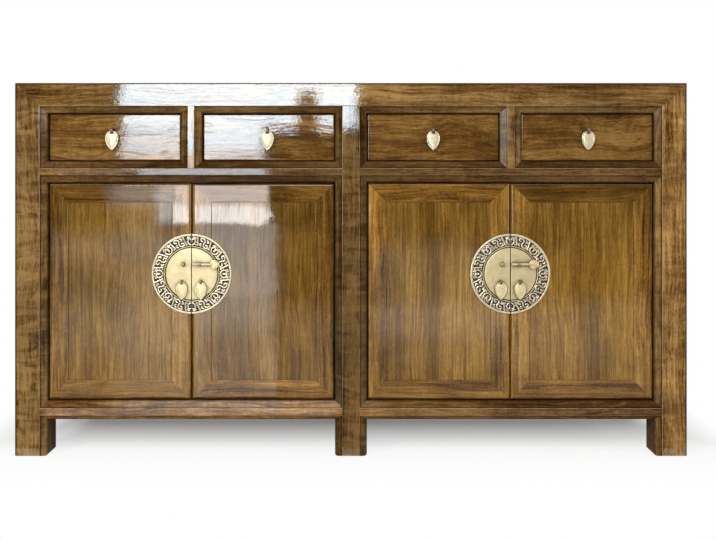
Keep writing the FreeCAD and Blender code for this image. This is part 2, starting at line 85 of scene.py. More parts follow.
def calc(tree, operation, a, b=0.0):
    return add(tree, "ShaderNodeMath", {0: a, 1: b}, operation=operation).outputs[0]


def times(tree, a, b):
    return calc(tree, "MULTIPLY", a, b)


def plus(tree, a, b):
    return calc(tree, "ADD", a, b)


# the three coordinates of a point
def axes(tree, spot):
    return add(tree, "ShaderNodeSeparateXYZ", {0: spot}).outputs


def surface(tree, shader):
    add(tree, "ShaderNodeOutputMaterial", {"Surface": shader.outputs[0]})


def blendColour(tree, factor, a, b, kind="MIX"):
    mixer = add(tree, "ShaderNodeMix", {0: factor, 6: a, 7: b}, data_type="RGBA", blend_type=kind)
    return mixer.outputs[2]


def blendValue(tree, factor, a, b):
    return add(tree, "ShaderNodeMix", {0: factor, 2: a, 3: b}, data_type="FLOAT").outputs[0]


def ramp(tree, factor, stops):
    made = add(tree, "ShaderNodeValToRGB", {0: factor})
    points = made.color_ramp.elements
    while len(points) < len(stops):
        points.new(0.5)
    for point, (place, colour) in zip(points, stops):
        point.position = place
        point.color = (*colour, 1)
    return made.outputs[0]


def span(tree, value, low, high, outLow=0.0, outHigh=1.0):
    made = add(tree, "ShaderNodeMapRange", {0: value, 1: low, 2: high, 3: outLow, 4: outHigh})
    made.clamp = True
    return made.outputs[0]


def between(tree, value, low, high, soft):
    rise = span(tree, value, low - soft, low + soft)
    return times(tree, rise, span(tree, value, high - soft, high + soft, 1.0, 0.0))


# how far a coordinate lies inside two limits
def insetIn(tree, value, low, high):
    off = calc(tree, "ABSOLUTE", calc(tree, "SUBTRACT", value, (low + high) / 2))
    return calc(tree, "SUBTRACT", (high - low) / 2, off)


def objectSpot(tree):
    return add(tree, "ShaderNodeTexCoord").outputs["Object"]


def noise(tree, spot, shift, scale, detail, rough=0.55, twist=0.0, turn=(0, 0, 0)):
    place = add(tree, "ShaderNodeMapping", {"Vector": spot, "Location": shift, "Rotation": turn,
                                            "Scale": scale})
    made = add(tree, "ShaderNodeTexNoise", {"Vector": place.outputs[0], "Scale": 1.0, "Detail": detail,
                                            "Roughness": rough, "Distortion": twist})
    return made.outputs["Fac"]


# scale of a pattern that is drawn out along one axis
def drawnOut(axis, across, along):
    return tuple(along if name == axis else across for name in "XYZ")


grainLook = {
    # each pattern: scale across the board and along it, detail, roughness, twist
    "patterns": {
        "sway": (5.0, 3.2, 2.0, 0.55, 0.0), "tone": (7.0, 1.5, 3.0, 0.55, 0.5),
        "bands": (1.0, 0.8, 3.0, 0.55, 0.25), "streak": (1.0, 4.5, 4.0, 0.6, 0.3),
        "fine": (1.0, 11.0, 3.0, 0.6, 0.2), "fibre": (1.0, 40.0, 3.0, 0.6, 0.0),
        "fleck": (420.0, 150.0, 2.0, 0.6, 0.0), "smoke": (6.0, 6.0, 4.0, 0.6, 0.5),
        "curl": (15.0, 52.0, 2.0, 0.5, 0.9), "wave": (1.0, 6.0, 2.0, 0.5, 0.0),
        "peel": (70.0, 70.0, 4.0, 0.6, 0.0), "sunken": (1.0, 3.6, 3.0, 0.6, 0.3),
    },
    # the part of each pattern's range that is used
    "swayReach": (0.25, 0.75), "shareReach": (0.3, 0.7), "curlReach": (0.35, 0.65),
    "smokeReach": (0.34, 0.58), "poreReach": (0.34, 0.52), "sunkenReach": (0.34, 0.46),
    "ringDetail": (3.0, 1.4, 0.6), "colourStops": (0.3, 0.52, 0.76), "poreCoat": 0.8,
}


# the grain of one board: its colour, its fine pores and the waviness of the lacquer over it
def grain(tree, straight, look, axis, shift):
    def pattern(name, place, across=1.0, along=1.0, turn=(0, 0, 0)):
        wide, far, detail, rough, twist = grainLook["patterns"][name]
        scale = drawnOut(axis, wide * across, far * along)
        return noise(tree, place, shift, scale, detail, rough, twist, turn)

    def addShare(total, part, share, reach="shareReach", least=0.0):
        part = span(tree, part, *grainLook[reach], least, 1.0)
        return plus(tree, total, times(tree, part, share))

    sway = span(tree, pattern("sway", straight), *grainLook["swayReach"], -1.0, 1.0)
    sway = times(tree, sway, look["wander"])
    spot = add(tree, "ShaderNodeVectorMath", {0: straight, 1: sway}, operation="ADD").outputs[0]
    detail, detailScale, detailRough = grainLook["ringDetail"]
    rings = add(tree, "ShaderNodeTexWave", {
        "Vector": add(tree, "ShaderNodeMapping", {
            "Vector": spot, "Location": shift, "Scale": drawnOut(axis, 1.0, look["ringPull"])}).outputs[0],
        "Scale": look["rings"], "Distortion": look["ringTwist"], "Detail": detail,
        "Detail Scale": detailScale, "Detail Roughness": detailRough},
        bands_direction="DIAGONAL", wave_profile="SIN").outputs["Fac"]
    pull = look["shorter"]   # how short the lines are along the board
    streak = pattern("streak", spot, look["streaks"], pull)
    mixed = times(tree, rings, look["ringShare"])
    mixed = addShare(mixed, pattern("bands", spot, look["bands"]), look["bandShare"])
    mixed = addShare(mixed, streak, look["streakShare"])
    mixed = addShare(mixed, pattern("fine", spot, look["fine"], pull), look["fineShare"])
    mixed = addShare(mixed, pattern("tone", spot), look["toneShare"])
    mixed = addShare(mixed, pattern("curl", spot, turn=look["curlTurn"]), look["curl"], "curlReach", -1.0)
    mixed = addShare(mixed, pattern("fleck", spot), look["flecks"], "shareReach", -1.0)
    tones = (look["dark"], look["mid"], look["light"])
    colour = ramp(tree, mixed, list(zip(grainLook["colourStops"], tones)))
    smoke = span(tree, pattern("smoke", spot), *grainLook["smokeReach"], look["smoke"], 1.0)
    colour = blendColour(tree, 1.0, colour, smoke, "MULTIPLY")
    pores = span(tree, pattern("fibre", spot, look["fibres"], pull), *grainLook["poreReach"])
    poreShare = times(tree, calc(tree, "SUBTRACT", 1.0, pores), look["pores"])
    colour = blendColour(tree, poreShare, colour, (*look["pore"], 1))
    film = times(tree, streak, look["filmStreak"])
    film = plus(tree, pattern("wave", spot, look["waves"]), film)
    film = plus(tree, film, times(tree, pattern("peel", spot), look["peel"]))
    thin = span(tree, pattern("sunken", spot, look["fine"]), *grainLook["sunkenReach"], look["thinCoat"], 1.0)
    coat = times(tree, thin, span(tree, pores, 0.0, 1.0, grainLook["poreCoat"], 1.0))
    return {"colour": colour, "pores": pores, "streak": streak, "film": film, "coat": coat}


def mixGrain(tree, factor, a, b):
    mixed = {"colour": blendColour(tree, factor, a["colour"], b["colour"])}
    for key in ("pores", "streak", "film", "coat"):
        mixed[key] = blendValue(tree, factor, a[key], b[key])
    return mixed


# how far a point lies behind the nearest outer face of the cabinet, and from the nearest outer edge
def sunkDepth(tree, spot):
    place = axes(tree, spot)
    x = calc(tree, "SUBTRACT", cadBox[1].x, calc(tree, "ABSOLUTE", place["X"]))
    y = calc(tree, "SUBTRACT", cadBox[1].y, calc(tree, "ABSOLUTE", place["Y"]))
    z = calc(tree, "SUBTRACT", cadBox[1].z, place["Z"])
    least = calc(tree, "MINIMUM", x, y)
    most = calc(tree, "MAXIMUM", x, y)
    edge = calc(tree, "MAXIMUM", least, calc(tree, "MINIMUM", most, z))
    return calc(tree, "MINIMUM", least, z), edge


edgeLook = {
    # colours of the painted shade and stain, and of the painted highlight and wear on the arrises
    "shadeAndStain": (0.024, 0.01, 0.004), "highlightAndWear": (0.6, 0.46, 0.27), "arris": 0.55, "outer": 0.8, "strip": 0.28,
    "line": 0.7, "roughness": 0.9, "mouldingCoat": 0.11,
    # depths behind the faces and distances from the edges: from, to, softness
    "moulding": (0.0033, 0.0039), "arrisBand": (0.0003, 0.0019, 0.0002), "outerReach": (0.003, 0.0056),
    "stepLine": (0.0034, 0.0047, 0.0003), "innerLine": (0.0069, 0.0077),
    # patterns: shift, scale, detail
    "wornSpots": ((2, 5, 1), (30, 30, 30), 3.0), "wornReach": (0.3, 0.55),
    "pits": ((1, 1, 3), (420, 420, 420), 3.0),
}


# painted shade and stain in the mouldings, painted shade lines at their step and inner edge, painted highlight
# and wear on their arrises, darker outer edges
def paintFrameShadeAndWear(tree, spot, wood):
    look = edgeLook
    shadeAndStainColour = (*look["shadeAndStain"], 1)
    sunk, edge = sunkDepth(tree, spot)
    moulding = span(tree, sunk, *look["moulding"])
    highlightAndWear = span(tree, noise(tree, spot, *look["wornSpots"]), *look["wornReach"])
    arris = times(tree, between(tree, sunk, *look["arrisBand"]), highlightAndWear)
    outer = span(tree, edge, *look["outerReach"], 1.0, 0.0)
    inner = calc(tree, "SUBTRACT", 1.0, outer)
    # painted shade: dark lines in the crevice at the step and along the inner edge of the moulding
    shadeLines = calc(tree, "MAXIMUM", between(tree, sunk, *look["stepLine"]),
                 span(tree, sunk, *look["innerLine"]))
    # painted shade and stain over the moulding strips
    shadeAndStain = calc(tree, "MAXIMUM", times(tree, moulding, look["strip"]),
                 times(tree, shadeLines, look["line"]))
    colour = blendColour(tree, shadeAndStain, wood["colour"], shadeAndStainColour)
    # painted highlight and wear on the arrises, in patches
    share = times(tree, times(tree, arris, inner), look["arris"])
    colour = blendColour(tree, share, colour, (*look["highlightAndWear"], 1))
    # darker towards the outer edges
    rim = times(tree, outer, look["outer"])
    wood["colour"] = blendColour(tree, rim, colour, shadeAndStainColour)
    pits = times(tree, noise(tree, spot, *look["pits"]), moulding)
    wood["film"] = plus(tree, wood["film"], times(tree, pits, look["roughness"]))
    dull = span(tree, moulding, 0.0, 1.0, 1.0, look["mouldingCoat"])
    wood["coat"] = times(tree, wood["coat"], dull)


slabLook = {"start": 0.15, "behind": (0.012, 0.016)}   # share of the reach; depths where the painted shade ends


# painted shade round the rounded edge of a slab whose face is at a given y
def shadeSlabEdge(tree, spot, wood, face, reach, share):
    y = axes(tree, spot)["Y"]
    near, far = slabLook["behind"]
    back = span(tree, y, face + near, face + far, 1.0, 0.0)
    edge = times(tree, span(tree, y, face + reach * slabLook["start"], face + reach), back)
    shadeAndStain = times(tree, edge, share)
    wood["colour"] = blendColour(tree, shadeAndStain, wood["colour"], (*edgeLook["shadeAndStain"], 1))


lacquerLook = {"poreRough": 0.14, "poreRelief": 0.4, "streakRelief": 0.6, "grainStrength": 0.5,
               "grainDepth": 0.0004, "index": 1.5}


# stain and lacquer over the grain
def lacquer(tree, wood, look):
    rough = span(tree, wood["pores"], 0.0, 1.0, look["rough"] + lacquerLook["poreRough"], look["rough"])
    relief = plus(tree, times(tree, wood["pores"], lacquerLook["poreRelief"]),
                  times(tree, wood["streak"], lacquerLook["streakRelief"]))
    grainBump = add(tree, "ShaderNodeBump", {
        "Strength": lacquerLook["grainStrength"], "Distance": lacquerLook["grainDepth"], "Height": relief})
    filmBump = add(tree, "ShaderNodeBump", {
        "Strength": 1.0, "Distance": look["filmDepth"], "Height": wood["film"]})
    shader = add(tree, "ShaderNodeBsdfPrincipled", {
        "Base Color": wood["colour"], "Roughness": rough, "Specular IOR Level": 0.0,
        "Normal": grainBump.outputs[0], "Coat Weight": times(tree, wood["coat"], look["coat"]),
        "Coat Roughness": look["gloss"], "Coat IOR": lacquerLook["index"],
        "Coat Normal": filmBump.outputs[0]})
    surface(tree, shader)


# the same wood, lighter or darker
def toned(look, tone):
    return {**look, **{key: tuple(tone * part for part in look[key]) for key in ("dark", "mid", "light")}}


def boardWood(name, look, axis, shift, framed=False):
    material, tree = newTree(name)
    spot = objectSpot(tree)
    wood = grain(tree, spot, look, axis, shift)
    for part, low, high, gain in look.get("paler", ()):   # the board is lighter towards one end: painted reflection on the left of the bottom and drawer rails; the posts are lighter at the foot and the door panels lower down
        place = axes(tree, spot)[part]
        pale = span(tree, place, low, high, gain, 1.0)
        wood["colour"] = blendColour(tree, 1.0, wood["colour"], pale, "MULTIPLY")
    if framed:
        paintFrameShadeAndWear(tree, spot, wood)
    lacquer(tree, wood, look)
    return material


frameLook = {
    "dark": (0.045, 0.019, 0.005), "mid": (0.17, 0.088, 0.025), "light": (0.34, 0.205, 0.072),
    "pore": (0.03, 0.013, 0.004), "pores": 0.4, "smoke": 0.66,
    "toneShare": 0.22, "bands": 24.0, "bandShare": 0.2, "streaks": 95.0, "streakShare": 0.22,
    "fine": 210.0, "fineShare": 0.28, "fibres": 420.0, "flecks": 0.08,
    "wander": 0.014, "shorter": 0.85,
    "rings": 5.0, "ringPull": 0.09, "ringTwist": 5.0, "ringShare": 0.18, "curl": 0.04, "curlTurn": (0, 0, 0),
    "waves": 42.0, "filmStreak": 0.7, "peel": 0.7, "filmDepth": 0.00009,
    "rough": 0.3, "coat": 1.0, "thinCoat": 0.7, "gloss": 0.04,
}
postLook = {**frameLook, "mid": (0.18, 0.097, 0.029), "light": (0.34, 0.205, 0.073), "curl": 0.13,
            "curlTurn": (0, math.radians(38), 0), "paler": [("Z", 0.05, 0.2, 1.25)]}
railLook = {**frameLook, "mid": (0.135, 0.067, 0.019), "light": (0.28, 0.16, 0.053)}
drawerLook = {**frameLook, "dark": (0.072, 0.032, 0.0075), "mid": (0.152, 0.074, 0.017),
              "light": (0.29, 0.162, 0.046), "rings": 7.0, "ringTwist": 7.0, "ringShare": 0.2,
              "toneShare": 0.16, "streakShare": 0.24, "fineShare": 0.3, "wander": 0.022, "thinCoat": 0.45}
doorLook = {**frameLook, "mid": (0.19, 0.095, 0.017), "light": (0.35, 0.198, 0.045), "filmDepth": 0.000035,
            "curl": 0.02, "gloss": 0.025, "wander": 0.008, "shorter": 0.5}
doorRailLook = {**doorLook, "mid": (0.15, 0.071, 0.013), "light": (0.28, 0.15, 0.033)}
panelLook = {**doorLook, "dark": (0.115, 0.054, 0.009), "mid": (0.205, 0.106, 0.018),
             "light": (0.325, 0.186, 0.04), "ringShare": 0.12, "streakShare": 0.28, "toneShare": 0.17,
             "bandShare": 0.15, "fineShare": 0.34}
insideLook = {**frameLook, "dark": (0.12, 0.065, 0.03), "mid": (0.25, 0.155, 0.075),
              "light": (0.4, 0.27, 0.15), "coat": 0.25, "gloss": 0.25, "rough": 0.45}
# painted reflection: the left part of the bottom rails and the left end of the drawer rails are lighter
bottomRailLook = {**railLook, "paler": [("X", -0.1, 0.1, 2.45)]}
drawerRailLook = {**toned(railLook, 0.73), "paler": [("X", -0.6, -0.45, 1.75)]}
# the three front posts are toned one by one: partly their own tone, partly painted light and shade across the
# front
leftPostLook = toned(postLook, 0.85)
middlePostLook = {**toned(postLook, 0.55), "paler": [("Z", 0.05, 0.2, 1.08)]}
rightPostLook = {**toned(postLook, 1.45), "curl": 0.06, "paler": [("Z", 0.05, 0.2, 1.05)]}

# the wood of each carcase node, and which way its grain runs
carcaseWood = {
    "left_front_post": (leftPostLook, "Z"), "middle_front_post": (middlePostLook, "Z"),
    "right_front_post": (rightPostLook, "Z"), "rear_posts": (postLook, "Z"),
    "drawer_dividers": (postLook, "Z"),
    "top_front_rail": (frameLook, "X"), "top_rear_rail": (frameLook, "X"), "top_end_rails": (frameLook, "Y"),
    "drawer_rails": (drawerRailLook, "X"), "bottom_rails": (bottomRailLook, "X"),
    "rear_rails": (railLook, "X"), "end_rails": (railLook, "Y"),
    "top_panel": (panelLook, "X"), "end_panels": (panelLook, "Z"),
    "back_panels": (insideLook, "Z"), "floor_panels": (insideLook, "X"), "top_battens": (insideLook, "Y"),
    "drawer_runners": (insideLook, "Y"), "center_partition": (insideLook, "Z"), "shelves": (insideLook, "X"),
    "shelf_cleats": (insideLook, "Y"), "door_stops": (insideLook, "X"),
}
boardStart, boardStep = (0.0, 1.7, 0.0), (0.37, 0.53, 0.91)   # every board has its own stretch of the grain


def paint(node, material):
    data = nodes[node].data
    data.materials.clear()
    data.materials.append(material)


for place, (node, (look, axis)) in enumerate(carcaseWood.items()):
    framed = look not in (panelLook, insideLook)
    shift = tuple(start + step * place for start, step in zip(boardStart, boardStep))
    paint(node, boardWood(node + "Wood", look, axis, shift, framed))
print("carcase wood: done")

drawerBoxLook = {"sideReach": 0.0105, "topEdge": 0.0002}   # a little more than a side is thick; depth of its edge


# drawer boxes: the faces of the sides run front to back, their top edges, the back and the bottom run across
def drawerBoxWood(name, look, lowCorner, highCorner, shift):
    material, tree = newTree(name)
    spot = objectSpot(tree)
    place = axes(tree, spot)
    fromSide = insetIn(tree, place["X"], lowCorner.x, highCorner.x)
    side = calc(tree, "LESS_THAN", fromSide, drawerBoxLook["sideReach"])
    face = calc(tree, "LESS_THAN", place["Z"], highCorner.z - drawerBoxLook["topEdge"])
    across = grain(tree, spot, look, "X", shift)
    along = grain(tree, spot, look, "Y", shift)
    lacquer(tree, mixGrain(tree, times(tree, side, face), across, along), look)
    return material


# the wood of the four doors and drawers, from the left; their tones are partly the wood's own and partly painted
# light and shade across the front
frontLook = {
    "shift": (1.3, 0.4, 2.1),
    # drawerEdge and doorEdge: painted shade round the rounded edges of the fronts
    "drawerTones": {1: 1.08, 2: 1.2, 3: 1.07, 4: 0.93}, "drawerEdge": {"reach": 0.0035, "share": 0.65},
    "stileTones": {1: 1.05, 2: 0.9, 3: 1.4, 4: 1.2},
    # railTones, below and above: painted shade makes each door's upper rail darker
    "railTones": {1: (1.05, 0.95), 2: (1.75, 0.85), 3: (1.22, 1.4), 4: (1.45, 0.6)},   # below, above
    "railFade": 0.1, "doorEdge": {"reach": 0.006, "share": 0.35},
    "panelTones": {1: 0.88, 2: 0.74, 3: 0.96, 4: 0.98},
    "panelPales": {1: 1.1, 2: 1.25, 3: 1.28, 4: 1.23}, "panelFade": (0.3, 0.48),   # panels are paler below
}


# a door frame: rails run across and stiles run up, parted on the mitre lines
def doorFrameWood(name, lowCorner, highCorner, shift, stileTone, railTone):
    material, tree = newTree(name)
    spot = objectSpot(tree)
    place = axes(tree, spot)
    fromSide = insetIn(tree, place["X"], lowCorner.x, highCorner.x)
    fromEnd = insetIn(tree, place["Z"], lowCorner.z, highCorner.z)
    rail = calc(tree, "LESS_THAN", fromEnd, fromSide)
    stiles = grain(tree, spot, toned(doorLook, stileTone), "Z", shift)
    rails = grain(tree, spot, doorRailLook, "X", shift)
    middle, fade = (lowCorner.z + highCorner.z) / 2, frontLook["railFade"]   # painted shade: the upper rail is darker and the lower one lighter
    tone = span(tree, place["Z"], middle - fade, middle + fade, *railTone)
    rails["colour"] = blendColour(tree, 1.0, rails["colour"], tone, "MULTIPLY")
    wood = mixGrain(tree, rail, stiles, rails)
    shadeSlabEdge(tree, spot, wood, lowCorner.y, **frontLook["doorEdge"])
    lacquer(tree, wood, doorLook)
    return material


def drawerFrontWood(name, look, face, shift):
    material, tree = newTree(name)
    spot = objectSpot(tree)
    wood = grain(tree, spot, look, "X", shift)
    shadeSlabEdge(tree, spot, wood, face, **frontLook["drawerEdge"])
    lacquer(tree, wood, look)
    return material


for number in range(1, 5):
    shift = tuple(step * number for step in frontLook["shift"])
    node = "drawer_%d_front" % number
    look = toned(drawerLook, frontLook["drawerTones"][number])
    paint(node, drawerFrontWood("drawerFront%dWood" % number, look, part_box(node)[0].y, shift))
    node = "drawer_%d_box" % number
    paint(node, drawerBoxWood("drawerBox%dWood" % number, insideLook, *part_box(node), shift))
    node = "door_%d_frame" % number
    tones = frontLook["stileTones"][number], frontLook["railTones"][number]
    paint(node, doorFrameWood("doorFrame%dWood" % number, *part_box(node), shift, *tones))
    pale = ("Z", *frontLook["panelFade"], frontLook["panelPales"][number])
    look = {**toned(panelLook, frontLook["panelTones"][number]), "paler": [pale]}
    paint("door_%d_panel" % number, boardWood("doorPanel%dWood" % number, look, "Z", shift))
print("drawers and doors: done")

metalLook = {
    # patterns: shift, scale, detail, roughness, twist
    "tarnish": ((0, 0, 0), (70, 70, 70), 6.0, 0.65, 0.6), "specks": ((5, 2, 7), (420, 420, 420), 3.0, 0.6),
    "rub": ((3, 1, 2), (900, 60, 260), 3.0), "blotch": ((1, 4, 2), (260, 260, 260), 4.0, 0.6),
    # the part of each pattern's range that is used
    "tarnishStops": (0.25, 0.5, 0.78), "speckReach": (0.66, 0.76), "cornerShadeReach": (0.4, 0.95),
    "rubReach": (0.3, 0.7), "rubRough": (-0.07, 0.09), "rubBump": {"Strength": 0.3, "Distance": 0.0002},
    "blotchReach": (0.3, 0.7), "heightStops": (0.15, 0.5, 0.85), "heightRough": (0.2, 0.9, 0.6, 0.36),
    "blotchBump": {"Strength": 0.4, "Distance": 0.0003}, "cornerShadeSamples": 8,
}


# pale brass, a little tarnished and rubbed, with painted shade in the corners and under the fittings
def brassMetal(name, look):
    material, tree = newTree(name)
    spot = objectSpot(tree)
    tarnish = noise(tree, spot, *metalLook["tarnish"])
    specks = noise(tree, spot, *metalLook["specks"])
    rub = noise(tree, spot, *metalLook["rub"])
    tones = (look["tarnish"], look["brass"], look["bright"])
    colour = ramp(tree, tarnish, list(zip(metalLook["tarnishStops"], tones)))
    speckShare = span(tree, specks, *metalLook["speckReach"], 0.0, look["specks"])
    colour = blendColour(tree, speckShare, colour, (*look["speck"], 1))
    # painted shade: ambient occlusion darkens the brass in corners, under the leaves and round the rod and eyes
    corner = add(tree, "ShaderNodeAmbientOcclusion", {"Distance": look["cornerShadeReach"]},
                 samples=metalLook["cornerShadeSamples"]).outputs["AO"]
    cornerShadeShare = span(tree, corner, *metalLook["cornerShadeReach"], look["cornerShadeShare"], 0.0)
    colour = blendColour(tree, cornerShadeShare, colour, (*look["cornerShade"], 1))
    rough = span(tree, rub, *metalLook["rubReach"], *(look["rough"] + off for off in metalLook["rubRough"]))
    bump = add(tree, "ShaderNodeBump", {**metalLook["rubBump"], "Height": rub})
    shader = add(tree, "ShaderNodeBsdfPrincipled", {
        "Base Color": colour, "Roughness": rough, "Metallic": look["metal"], "Normal": bump.outputs[0]})
    surface(tree, shader)
    return material


# raised ornament: pale on top, dark where the patina stays, by depth below the rim
def wornMetal(name, look):
    material, tree = newTree(name)
    spot = objectSpot(tree)
    depth = axes(tree, spot)["Y"]
    blotch = noise(tree, spot, *metalLook["blotch"])
    height = plus(tree, span(tree, depth, look["floor"], look["top"]),
                  span(tree, blotch, *metalLook["blotchReach"], -look["blotch"], look["blotch"]))
    tones = (look["dark"], look["grey"], look["pale"])
    colour = ramp(tree, height, list(zip(metalLook["heightStops"], tones)))
    rough = span(tree, height, *metalLook["heightRough"])
    bump = add(tree, "ShaderNodeBump", {**metalLook["blotchBump"], "Height": blotch})
    shader = add(tree, "ShaderNodeBsdfPrincipled", {
        "Base Color": colour, "Roughness": rough, "Metallic": look["metal"],
        "Specular IOR Level": look["sheen"], "Normal": bump.outputs[0]})
    surface(tree, shader)
    return material


brassLook = {"tarnish": (0.54, 0.43, 0.235), "brass": (0.64, 0.52, 0.295), "bright": (0.71, 0.605, 0.38),
             "speck": (0.28, 0.2, 0.09), "specks": 0.4, "rough": 0.4, "metal": 0.33,
             "cornerShade": (0.03, 0.02, 0.008), "cornerShadeShare": 0.95, "cornerShadeReach": 0.012}
patinaLook = {"floor": -0.1886, "top": -0.1906, "blotch": 0.25, "dark": (0.025, 0.02, 0.013),
              "grey": (0.06, 0.05, 0.035), "pale": (0.3, 0.25, 0.18), "metal": 0.05, "sheen": 0.1}
wornLook = {"floor": -0.189, "top": -0.19, "blotch": 0.2, "dark": (0.03, 0.028, 0.022),
            "grey": (0.175, 0.142, 0.098), "pale": (0.56, 0.465, 0.335), "metal": 0.85, "sheen": 0.5}


def brassTones(tarnish, brass, bright):
    return {**brassLook, "tarnish": tarnish, "brass": brass, "bright": bright}


brass = brassMetal("paleBrass", brassTones((0.455, 0.36, 0.192), (0.54, 0.435, 0.24), (0.6, 0.505, 0.31)))
# painted shade: the next two are darker copies of the brass for the loops, pivots and eyes of the fittings, which
# show shaded
shadedBrass = brassMetal("shadedBrass", brassTones((0.05, 0.036, 0.016), (0.13, 0.1, 0.05), (0.3, 0.24, 0.13)))
eyeBrass = brassMetal("eyeBrass", brassTones((0.16, 0.12, 0.055), (0.34, 0.265, 0.13), (0.56, 0.46, 0.26)))
doorLeafBrass = brassMetal("doorLeafBrass", {**brassLook, "cornerShadeShare": 0.4})
leafBrass = brassMetal("leafBrass", brassTones((0.49, 0.42, 0.26), (0.57, 0.5, 0.33), (0.64, 0.575, 0.41)))
pinBrass = brassMetal("pinBrass", brassTones((0.58, 0.41, 0.2), (0.67, 0.495, 0.265), (0.73, 0.585, 0.345)))
patina = wornMetal("darkPatina", patinaLook)
wornBrass = wornMetal("wornBrass", wornLook)
print("metals: done")

# edit-mode helpers
meshLook = {"merge": 0.000002, "smooth": math.radians(38), "sharp": 1.0}


def deselect():
    if bpy.context.mode != "OBJECT":
        bpy.ops.object.mode_set(mode="OBJECT")
    bpy.ops.object.select_all(action="DESELECT")


def settle():
    bpy.ops.object.transform_apply(location=True, rotation=True, scale=True)


def enterEdit():
    bpy.ops.object.mode_set(mode="EDIT")
    bpy.ops.mesh.select_mode(type="VERT")
    bpy.ops.mesh.select_all(action="SELECT")


def leaveEdit():
    bpy.ops.object.mode_set(mode="OBJECT")


def pick(kind, test):
    bpy.ops.mesh.select_mode(type=kind)
    bpy.ops.mesh.select_all(action="DESELECT")
    shape = bmesh.from_edit_mesh(bpy.context.edit_object.data)
    for part in {"VERT": shape.verts, "EDGE": shape.edges, "FACE": shape.faces}[kind]:
        if test(part):
            part.select_set(True)
    bmesh.update_edit_mesh(bpy.context.edit_object.data)


def cleanUp():
    enterEdit()
    bpy.ops.mesh.remove_doubles(threshold=meshLook["merge"])
    bpy.ops.mesh.normals_make_consistent(inside=False)
    leaveEdit()


def useModifier(piece, kind, **settings):
    modifier = piece.modifiers.new(kind.title(), kind)
    for key, value in settings.items():
        setattr(modifier, key, value)
    bpy.context.view_layer.objects.active = piece
    bpy.ops.object.modifier_apply(modifier=modifier.name)


def only(piece):
    deselect()
    piece.select_set(True)
    bpy.context.view_layer.objects.active = piece


def joinAll(pieces):
    deselect()
    for piece in pieces:
        piece.select_set(True)
    bpy.context.view_layer.objects.active = pieces[0]
    bpy.ops.object.join()
    return bpy.context.object


def copyOf(piece, move):
    only(piece)
    bpy.ops.object.duplicate(linked=False)
    made = bpy.context.object
    made.location = move
    settle()
    return made


# names a finished piece, gives it its finish and sets it on its body
def fit(piece, name, materials, body, *replaced):
    only(piece)
    settle()
    piece.name = name
    piece.data.name = name
    for material in materials:
        if material.name not in piece.data.materials:
            piece.data.materials.append(material)
    bpy.ops.object.shade_smooth_by_angle(angle=meshLook["smooth"])
    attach(piece, body)
    if replaced:
        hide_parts(*replaced)


# half width of a leaf at a distance below its top
def leafHalf(look, drop):
    half = look["width"] / 2
    widest = look["length"] * look["widestShare"]
    reach = widest if drop < widest else look["length"] - widest
    radius = (half * half + reach * reach) / look["width"]
    return half - radius + math.sqrt(radius * radius - (drop - widest) ** 2)


leafShape = {"near": 0.001, "facing": 0.99, "faceSides": 12, "swellDrop": 0.46, "bevelSteps": 2,
             "punchReach": 4.0, "punchRound": 0.42, "sink": 0.0001}


# a leaf that hangs from z 0, back on y 0, with an engraved line and a raised middle (rings: shrink, rise)
def modelLeaf(look):
    deselect()
    radius = look["length"] / 2
    bpy.ops.mesh.primitive_circle_add(vertices=look["points"], radius=radius, fill_type="NGON",
                                      location=(0, 0, -radius), rotation=(math.radians(90), 0, 0))
    leaf = bpy.context.object
    settle()
    enterEdit()
    for step in range(1, look["points"] // 2):
        turn = 2 * math.pi * step / look["points"]
        drop = radius - radius * math.cos(turn)
        pick("VERT", lambda vert: abs(vert.co.z + drop) < radius * leafShape["near"])
        bpy.ops.transform.resize(value=(leafHalf(look, drop) / (radius * math.sin(turn)), 1, 1),
                                 center_override=(0, 0, -drop))
    bpy.ops.mesh.select_all(action="SELECT")
    bpy.ops.mesh.extrude_region_move(TRANSFORM_OT_translate={"value": (0, -look["board"], 0)})
    bpy.ops.mesh.select_all(action="SELECT")
    bpy.ops.mesh.normals_make_consistent(inside=False)
    pick("EDGE", lambda edge: edge.calc_face_angle(0) > meshLook["sharp"])
    bpy.ops.mesh.bevel(offset=look["edge"], segments=leafShape["bevelSteps"], profile=0.5, affect="EDGES")
    sides, facing = leafShape["faceSides"], leafShape["facing"]
    pick("FACE", lambda face: face.normal.y < -facing and len(face.verts) > sides)
    for shrink, rise in look["rings"]:
        bpy.ops.mesh.extrude_region_move()
        bpy.ops.transform.resize(value=(shrink, 1, shrink),
                                 center_override=(0, 0, -look["length"] * leafShape["swellDrop"]))
        bpy.ops.transform.translate(value=(0, -rise, 0))
    leaveEdit()
    return leaf


def punchHole(leaf, look):
    deselect()
    bpy.ops.mesh.primitive_cube_add(size=1.0, location=(0, -look["board"] / 2, -look["holeDrop"]))
    punch = bpy.context.object
    punch.scale = (look["holeWidth"], look["board"] * leafShape["punchReach"], look["holeHeight"])
    settle()
    rounding = look["holeHeight"] * leafShape["punchRound"]
    useModifier(punch, "BEVEL", width=rounding, segments=4, limit_method="ANGLE")
    only(leaf)
    useModifier(leaf, "BOOLEAN", object=punch, operation="DIFFERENCE", solver="EXACT")
    bpy.data.objects.remove(punch)
    cleanUp()


